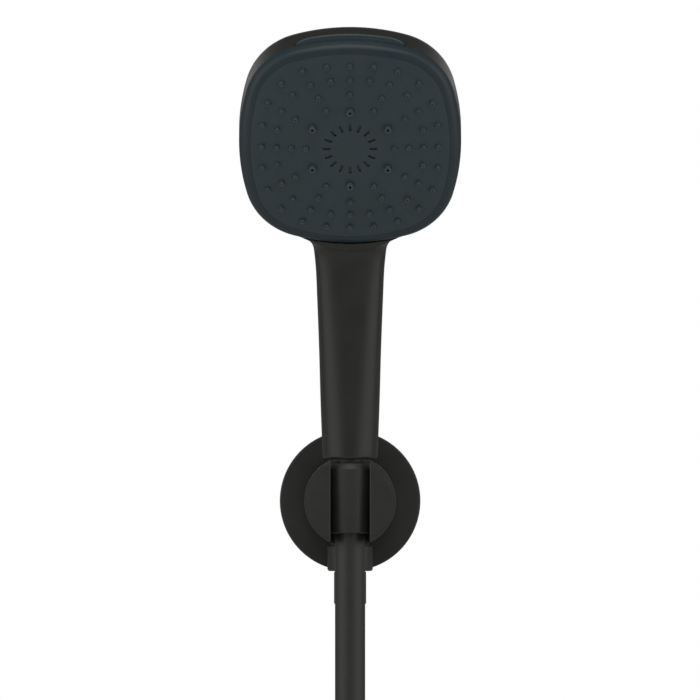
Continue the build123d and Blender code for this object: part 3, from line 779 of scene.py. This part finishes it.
def make_tie():
    """A strap round the coil's lowest part: a flat ribbon section carried round a rounded
    rectangle, with its free end lapped over the front."""
    low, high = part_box("coil_tie")
    low, high = np.array(low) / MM, np.array(high) / MM
    half = high[0]

    def ribbon(thick, radius, steps):
        """The ribbon's flat section: across the strap, and out from its inner face."""
        return rounded((
            (-half, 0.0, radius), (half, 0.0, radius), (half, thick, radius),
            (-half, thick, radius),
        ), steps)

    def band(out):
        """The loop round the bundle, at a distance outside the strap's inner face."""
        grow, bend = STRAP_THICK - out, STRAP_BEND_R + out
        front, back = low[1] + grow, high[1] - grow
        foot, top = low[2] + grow, high[2] - grow
        return rounded((
            (front, foot, bend), (back, foot, bend), (back, top, bend), (front, top, bend),
        ), 10)

    rows = []
    for x, out in ribbon(STRAP_THICK, 0.5, 3):
        loop = band(out)
        rows.append(np.column_stack((np.full(len(loop), x), loop[:, 0], loop[:, 1])))
    lap = ribbon(LAP_THICK, 0.3, 2)
    levels = (low[2] + 3.0, low[2] + 4.0, high[2] - 5.0, high[2] - 4.0)
    laps = []
    for z, share in zip(levels, (0.3, 1.0, 1.0, 0.3)):
        laps.append(np.column_stack((
            lap[:, 0], low[1] - lap[:, 1] * share + 0.2, np.full(len(lap), z),
        )))
    ends = [np.broadcast_to(loop.mean(0), loop.shape) for loop in (laps[0], laps[-1])]
    lapped = np.array([ends[0], *laps, ends[1]])
    return piece(
        "coil_strap", [(np.array(rows), True), (lapped, False)], "root", strap_cloth,
        "tie_fabric", "coil_tie",
    )


# ---------------------------------------------------------------- wall outlet and nuts
def coated(name, outline, at, axis, body, node, around=96):
    """A turned and powder-coated piece that stands for one CAD node."""
    grid = turned(rounded(outline), at, axis, around)
    return piece(name, [(grid, True)], body, powder_coat, "coated_metal", node)


def make_outlet():
    """The wall outlet, and the nuts and sleeves of the hose."""
    coated("wall_rosette", ROSETTE_OUTLINE, WALL_AT, ROOM, "root", "rosette", 160)
    make_union()
    coated("hose_nut", NUT_OUTLINE, OUTLET_AT, UP, "wall_nut", "wall_nut")
    coated("outlet_ferrule", REAR_SLEEVE_OUTLINE, OUTLET_AT, UP, "root", "wall_end_ferrule")
    coated(
        "handset_ferrule", FRONT_SLEEVE_OUTLINE, CRADLE_AT, UP, "hose_end",
        "handset_end_ferrule",
    )
    coated("cone_nut_turned", CONE_OUTLINE, CRADLE_AT, UP, "handset", "cone_nut", 120)


def make_union():
    """The machined outlet body: a merged copy of the CAD body with its edges broken."""
    mesh = frame["nodes"]["union_body"].data.copy()
    merge(mesh)
    body = place("outlet_body", mesh)
    bevel = body.modifiers.new("broken_edges", "BEVEL")
    bevel.width = BROKEN_EDGE * MM
    bevel.segments = 2
    bevel.limit_method = "ANGLE"
    bevel.angle_limit = math.radians(BROKEN_EDGE_ANGLE)
    bevel.use_clamp_overlap = True
    bake_modifiers(body)
    soft_edges(body, BODY_CRISP_ANGLE)
    return settle(body, "root", powder_coat, "coated_metal", "union_body")


# ---------------------------------------------------------------- handset shell
def eased(at, knots, values):
    """Cubic Hermite curve through values at knots, each slope that of the neighbours' run."""
    slope = np.gradient(values, knots, axis=0)
    k = np.clip(np.searchsorted(knots, at) - 1, 0, len(knots) - 2)
    run = (knots[k + 1] - knots[k])[:, None]
    t = (at[:, None] - knots[k][:, None]) / run
    a, b = values[k], values[k + 1]
    return (
        (2 * t**3 - 3 * t**2 + 1) * a + (t**3 - 2 * t**2 + t) * run * slope[k]
        + (3 * t**2 - 2 * t**3) * b + (t**3 - t**2) * run * slope[k + 1]
    )


def soft_union(a, b, reach):
    """The lesser of two distances, melted together where they are within reach of equal."""
    near = np.maximum(reach - abs(a - b), 0) / reach
    return np.minimum(a, b) - near * near * reach / 4


def cup_gap(x, v, w, inset):
    """Distance outside the head's cup: the soft square's outline and a crowned back, met by
    a quarter round, with everything in front of the rim left off."""
    side = soft_square_gap(x, v) + inset
    crown = BACK_CROWN * (x * x + v * v) / HEAD_HALF**2
    back = -(w + HEAD_BACK - crown) + inset
    r = BACK_ROUND - inset
    a, b = side + r, back + r
    inner = np.minimum(np.maximum(a, b), 0)
    return inner + np.hypot(np.maximum(a, 0), np.maximum(b, 0)) - r


def shell_skin(z_rows, v_rows, inset, front_cols, back_cols):
    """Loops of the handset's skin. Each row is a section across the spine; along each ray of
    a section the skin is where the melted union of handle and cup, less the ring's room,
    turns from inside to outside, found by halving the interval."""
    rise = eased(z_rows, HANDLE[:, 1], HANDLE[:, [0, 2, 3, 4, 5]])
    y, lean, wide, deep, power = rise.T
    z = z_rows
    depth = (HEAD_AT - HANDLE_TOP) @ HEAD_OUT
    fade = np.clip((v_rows - HANDLE_TOP_V) / -HANDLE_TOP_V, 0, 1)
    more = HEAD_AT[1:] + v_rows[:, None] * HEAD_UP[1:] - depth * HEAD_OUT[1:]
    ones = np.ones_like(v_rows)
    y, z = np.append(y, more[:, 0]), np.append(z, more[:, 1])
    lean = np.radians(np.append(lean, ones * math.degrees(FACE_TILT)))
    wide = np.append(wide, HANDLE[-1, 3] * (1 - FADE_NARROWS * fade)) - inset
    deep = np.append(deep, HANDLE[-1, 4] * (1 - FADE_THINS * fade)) - inset
    power = np.append(power, ones * HANDLE[-1, 5])
    set_back = 2 * NECK_BLEND * np.clip(fade * FADE_SETS_BACK, 0, 1)
    away = np.append(np.zeros_like(z_rows), set_back)[:, None]

    toward = np.stack((np.zeros_like(y), -np.cos(lean), -np.sin(lean)), -1)
    spine = np.stack((np.zeros_like(y), y, z), -1)
    spine_w, spine_v = (spine - HEAD_AT) @ HEAD_OUT, (spine - HEAD_AT) @ HEAD_UP
    rim_out = np.clip(-spine_w / np.cos(FACE_TILT - lean), RIM_NEAR, RIM_FAR)
    rim_v = spine_v + rim_out * np.sin(FACE_TILT - lean)
    half = outline_half_width(np.clip(rim_v, -HEAD_HALF, HEAD_HALF))
    half = np.where(abs(rim_v) < HEAD_HALF, half, 0)
    neck_half = HANDLE[-1, 3] - RIM_NECK_INSET
    half = np.maximum(half - inset, np.where(rim_v < 0, neck_half, 0.0))
    rim = np.arctan2(half, rim_out)[:, None]

    front = np.linspace(-1, 1, front_cols + 1)[None, :-1]
    back = np.linspace(0, 1, back_cols + 1)[None, :-1]
    angle = np.concatenate((rim * front, rim + (2 * math.pi - 2 * rim) * back), 1)
    ray = np.sin(angle)[..., None] * HEAD_X + np.cos(angle)[..., None] * toward[:, None]
    power, wide, deep = power[:, None], wide[:, None], deep[:, None]
    across, along = abs(np.sin(angle)), abs(np.cos(angle))

    def gap(reach):
        """Distance outside the skin at a reach along each ray."""
        spot = spine[:, None] + ray * reach[..., None] - HEAD_AT
        x, v, w = spot @ HEAD_X, spot @ HEAD_UP, spot @ HEAD_OUT
        around = (across * reach / wide) ** power + (along * reach / deep) ** power
        grip = (around ** (1 / power) - 1) * np.minimum(wide, deep) + away
        cup = np.maximum(cup_gap(x, v, w, inset), w + inset)
        whole = soft_union(grip, cup, NECK_BLEND)
        ring_room = np.minimum(RING_GAP + inset - soft_square_gap(x, v), w + inset)
        return np.maximum(whole, ring_room)

    reach = furthest_inside(gap, np.full(angle.shape, SHELL_REACH), 34)
    return spine[:, None] + ray * reach[..., None]


def close_grid(grid, foot):
    """Closes a skin: its first loop is drawn in to a point at the foot, and its last loop is
    folded flat on the middle plane."""
    first = np.broadcast_to(foot, grid[0].shape)[None]
    top = grid[-1:].copy()
    top[..., 0] = 0
    return np.concatenate((first, grid, top))


def head_rows(top, count):
    """Heights up the face, from the handle's last section to the head's top, closer
    together towards the top."""
    return top * np.cos(np.linspace(math.acos(HANDLE_TOP_V / top), 0, count))


def spaced(*runs):
    """Heights evenly spaced over each run of (from, to, count)."""
    return np.concatenate([np.linspace(*run, endpoint=False) for run in runs])


def make_shell():
    """The one-piece handle and head: its skin, less its hollow, the face's mouth, the bore
    for the connector, and room for the button and its leg."""
    grid = shell_skin(spaced(*SHELL_RUNS), head_rows(SHELL_TOP, 84), 0.0, 76, 116)
    base = grid[0]
    foot = HANDLE[0, 1]
    middle = np.array((0.0, CRADLE_Y, foot))
    grid[0, :, 2] += SHELL_FOOT_R
    feet = []
    for t in np.linspace(0, math.pi / 2, 5)[:0:-1]:
        loop = middle + (base - middle) * (1 - (1 - math.cos(t)) * SHELL_FOOT_R / HANDLE[0, 3])
        loop[:, 2] = foot + SHELL_FOOT_R * (1 - math.sin(t))
        feet.append(loop)
    skin_grid = close_grid(np.concatenate((np.array(feet), grid)), middle)
    shell = place("handset_body", mesh_of("handset_body", [(skin_grid, False)]))

    hollow = shell_skin(spaced(*HOLLOW_RUNS), head_rows(HOLLOW_TOP, 50), WALL, 40, 64)
    hollow = close_grid(hollow, (0.0, CRADLE_Y, HOLLOW_FOOT))
    mouth = square_prism(MOUTH_INSET, MOUTH_BACK, CUT_FRONT)
    window = button_block(BUTTON_WINDOW_GAP, CUT_FRONT, WINDOW_FOOT, WINDOW_TOP)
    carve(
        shell,
        mesh_of("hollow", [(hollow, False)]),
        mesh_of("mouth", [(mouth, False)]),
        mesh_of("bore", [(turned(BORE_OUTLINE, CRADLE_AT, UP), False)]),
        mesh_of("window", [(window, False)]),
        mesh_of("leg_room", [limb(*LEG_ROOM)]),
    )
    return settle(shell, "handset", black_abs, "shell_plastic", "handset_shell")


def tab_rear(x, grow=0.0):
    """Depth of the button's rear edge across its width: straight, then falling to nothing
    along a quarter ellipse at each end."""
    far = np.clip((abs(x) - BUTTON_STRAIGHT) / (BUTTON_HALF + grow - BUTTON_STRAIGHT), 0, 1)
    return (BUTTON_DEEP + grow) * np.sqrt(1 - far * far)


def button_block(grow, front, v0, v1):
    """A block with the button's outline across and in depth, grown on every side."""
    half = BUTTON_HALF + grow
    x = half * np.sin(np.linspace(-math.pi / 2, math.pi / 2, 60))
    outline = np.concatenate((
        np.column_stack((x, -tab_rear(x, grow))), ((half, front), (-half, front)),
    ))
    middle = outline.mean(0)
    shares = BLOCK_SHARES[:, None]
    x = middle[0] + (outline[None, :, 0] - middle[0]) * shares
    w = middle[1] + (outline[None, :, 1] - middle[1]) * shares
    return head_point(x, np.array((v0, v0, v1, v1))[:, None], w)


# ---------------------------------------------------------------- spray face
def nozzle_places():
    """Centres of the small nozzles: rings that swell towards the corners."""
    angle = np.concatenate([np.arange(n) * 2 * math.pi / n for _, n in NOZZLE_RINGS])
    radius = np.concatenate([np.full(n, r) for r, n in NOZZLE_RINGS])
    radius = radius * (1 + NOZZLE_SWELL * np.sin(2 * angle) ** 2)
    return radius * np.cos(angle), radius * np.sin(angle)


def jet_places():
    """Centres of the six larger jets."""
    angle = math.radians(30) + np.arange(JET_COUNT) * 2 * math.pi / JET_COUNT
    radius = JET_RING_R * (1 + NOZZLE_SWELL * np.sin(2 * angle) ** 2)
    return radius * np.cos(angle), radius * np.sin(angle)


def dome(x, v):
    """Height of the domed spray face."""
    return DOME_TOP - DOME_R + np.sqrt(DOME_R**2 - x * x - v * v)


def studs(places, outline, tops, around):
    """The same turned stud at many places. Each row of its outline is a radius, a height and
    how much of the stud's own tip height is added to it, all of it or none."""
    x0, v0 = places
    t = np.arange(around) * 2 * math.pi / around
    radius, height, from_top = outline.T
    x = x0[:, None, None] + radius[None, :, None] * np.cos(t)
    v = v0[:, None, None] + radius[None, :, None] * np.sin(t)
    w = height[None, :, None] + from_top[None, :, None] * tops[:, None, None]
    return [(grid, False) for grid in head_point(x, v, w)]


def make_ring(turns):
    """The ring round the spray plate: its section is carried round the soft square, and its
    inner edge is lifted to follow the dome."""
    nominal = float(dome(HEAD_HALF - RING_WIDE, 0.0))
    ring = rounded((
        (0.0, 0.0, 0.1), (0.0, RING_SIDE, 3.0), (1.9, 6.0, 4.6), (RING_WIDE, nominal, 0.1),
        (RING_WIDE, 0.0),
    ), 10)
    inner_x, inner_v = soft_square(RING_WIDE, turns)
    share = ring[:, 0] / RING_WIDE * np.clip(ring[:, 1] / nominal, 0, 1)
    lift = dome(inner_x, inner_v) - nominal
    x, v = soft_square(ring[:, None, 0], turns[None])
    grid = head_point(x, v, ring[:, None, 1] + share[:, None] * lift)
    piece("face_bezel", [(grid, True)], "handset", dark_slate_abs, "face_plastic", "face_ring")


def make_plate(turns):
    """The domed spray plate: a rounded rim, then loops that shrink to the middle of the
    dome, with holes for the nozzles and jets and a ring of shallow slots cut into it."""
    inset = HEAD_HALF - PLATE_HALF
    top_x, top_v = soft_square(inset + PLATE_RIM_R, turns)
    t = np.linspace(0, math.pi / 2, 5)[:, None]
    x, v = soft_square(inset + PLATE_RIM_R * (1 - np.cos(t)), turns[None])
    heights = dome(top_x, top_v) - PLATE_RIM_R * (1 - np.sin(t))
    share = np.linspace(1, 0, 36)[1:, None]
    in_x, in_v = top_x * share, top_v * share
    foot_x, foot_v = soft_square(inset, turns)
    grid = np.concatenate((
        head_point(foot_x[None] * 0, foot_v[None] * 0, PLATE_FOOT),
        head_point(foot_x[None], foot_v[None], PLATE_FOOT),
        head_point(x, v, heights),
        head_point(in_x, in_v, dome(in_x, in_v)),
    ))
    plate = place("spray_plate", mesh_of("spray_plate", [(grid, False)]))

    def drills(places, radius, around):
        """Closed drills right through the plate."""
        outline = ((0, 0, 0), (radius, 0, 0), (radius, DRILL_TOP, 0), (0, DRILL_TOP, 0))
        return studs(places, np.array(outline, float), np.zeros(len(places[0])), around)

    tools = drills(nozzle_places(), TEAT_HOLE_R, 20) + drills(jet_places(), JET_HOLE_R, 28)
    tools += [(slot, False) for slot in slot_cutters()]
    carve(plate, mesh_of("drills", tools))
    settle(plate, "handset", slate_abs, "face_plastic", "face_plate")


def make_nozzles(turns):
    """The silicone mat with its small nozzles, and the six larger jets, each standing a
    little proud of the dome."""
    places = nozzle_places()
    teats = studs(places, TEAT_OUTLINE, dome(*places) + TEAT_PROUD, 20)
    piece("nozzle_mat_moulded", [(mat_slab(turns), True), *teats], "handset", slate_silicone,
          "nozzle_silicone", "nozzle_mat")
    places = jet_places()
    jets = studs(places, JET_OUTLINE, dome(*places) + JET_PROUD, 36)
    piece("jet_inserts", jets, "handset", slate_silicone, "nozzle_silicone", "jet_nozzles")


def mat_slab(turns):
    """The flat mat: a ring whose outer edge is the soft square and inner edge a circle."""
    x, v = soft_square(HEAD_HALF - MAT_HALF, turns)
    angle = np.arctan2(v, x)
    inner = JET_RING_R - 3.0
    top = PLATE_FOOT - MAT_GAP
    section = np.array(((1.0, MAT_FOOT), (1.0, top), (0.0, top), (0.0, MAT_FOOT)))
    share, height = section[:, None, 0], section[:, None, 1]
    x = x * share + inner * np.cos(angle) * (1 - share)
    v = v * share + inner * np.sin(angle) * (1 - share)
    return head_point(x, v, height)


def slot_cutters():
    """Sixteen shallow round-ended slots in the plate, pointing to its middle."""
    half = SLOT_LENGTH / 2 - SLOT_WIDTH / 2
    t = np.arange(24) * 2 * math.pi / 24
    along = SLOT_RING_R + half * np.sign(np.cos(t) + 1e-9) + SLOT_WIDTH / 2 * np.cos(t)
    across = SLOT_WIDTH / 2 * np.sin(t)
    turn = np.arange(SLOT_COUNT)[:, None] * 2 * math.pi / SLOT_COUNT
    x = along * np.cos(turn) - across * np.sin(turn)
    v = along * np.sin(turn) + across * np.cos(turn)
    share = BLOCK_SHARES[:, None, None]
    mid_x, mid_v = SLOT_RING_R * np.cos(turn), SLOT_RING_R * np.sin(turn)
    floor = float(dome(SLOT_RING_R, 0.0)) - SLOT_DEEP
    height = np.array((floor, floor, DRILL_TOP, DRILL_TOP))[:, None, None]
    grid = head_point(mid_x + (x - mid_x) * share, mid_v + (v - mid_v) * share, height)
    return np.swapaxes(grid, 0, 1)


def make_button():
    """The push button: its outer face follows the head's top side and rises a little towards
    a rounded rear edge, with a row of short thumb grooves in front of it; below it a stub,
    leg and bar reach the ratchet."""
    x = BUTTON_HALF * np.linspace(-1, 1, 280) * 0.998
    rear = (-tab_rear(x) - BUTTON_PLAY)[:, None]
    share = np.sin(np.linspace(0, math.pi / 2, 40))
    w = -BUTTON_PLAY + (rear + BUTTON_PLAY) * share[None]
    rise = BUTTON_PROUD * np.clip(w / -BUTTON_DEEP, 0, 1)
    top = (np.sqrt(SIDE_ARC_R**2 - x * x) - SIDE_REACH)[:, None]
    off_groove = (x / GRIP_PITCH - np.round(x / GRIP_PITCH)) * GRIP_PITCH
    groove = GRIP_DEEP * np.maximum(1 - (off_groove / GRIP_HALF) ** 2, 0)
    groove = np.where(abs(x) < GRIP_PITCH * GRIP_COUNT / 2, groove, 0)
    depth = groove[:, None] * np.clip(1.6 - abs(w - GRIP_MIDDLE) / 0.5, 0, 1)
    edge = np.maximum(BUTTON_EDGE_R - (w - rear), 0)
    edge_drop = BUTTON_EDGE_R - np.sqrt(np.maximum(BUTTON_EDGE_R**2 - edge * edge, 0))
    bead = BEAD_HIGH * np.exp(-(((w - rear - BEAD_BACK) / BEAD_HALF) ** 2))
    out = top + rise + bead - depth - edge_drop
    inner = top - BUTTON_THICK + 0 * w
    v = np.concatenate((out, inner), 1)
    grid = head_point(x[:, None], v, np.concatenate((w, w[:, ::-1]), 1))
    caps = [np.broadcast_to(grid[k].mean(0), grid[k].shape)[None] for k in (0, -1)]
    cap = np.concatenate((caps[0], grid, caps[1]))
    limbs = [limb(*sizes) for sizes in BUTTON_LIMBS]
    piece("mode_button", [(cap, False), *limbs], "spray_button", slate_abs, "face_plastic",
          "spray_button")


def limb(x0, x1, v0, v1, w0, w1):
    """A straight moulded limb with softened corners, closed at both ends."""
    r = LIMB_CORNER_R
    outline = rounded(((x0, w0, r), (x1, w0, r), (x1, w1, r), (x0, w1, r)), 3)
    middle = np.array(((x0 + x1) / 2, (w0 + w1) / 2))
    share = BLOCK_SHARES[:, None, None]
    loops = middle + (outline[None] - middle) * share
    return head_point(loops[..., 0], np.array((v0, v0, v1, v1))[:, None], loops[..., 1]), False


def live_spring(name, node):
    """A coil spring between two bodies: a merged copy of its CAD wire."""
    mesh = frame["nodes"][node].data.copy()
    merge(mesh)
    spring = place(name, mesh)
    settle(soft_edges(spring), None, spring_steel, "spring_steel", node)
    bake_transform(spring)


# ---------------------------------------------------------------- put it together
set_camera()
set_studio()
lay_floor()
hose, hose_line = make_hose()
strap = make_tie()
make_outlet()
make_shell()
face_turns = outline_turns()
make_ring(face_turns)
make_plate(face_turns)
make_nozzles(face_turns)
make_button()
live_spring("closing_spring", "check_valve_spring")
live_spring("return_spring", "button_spring")
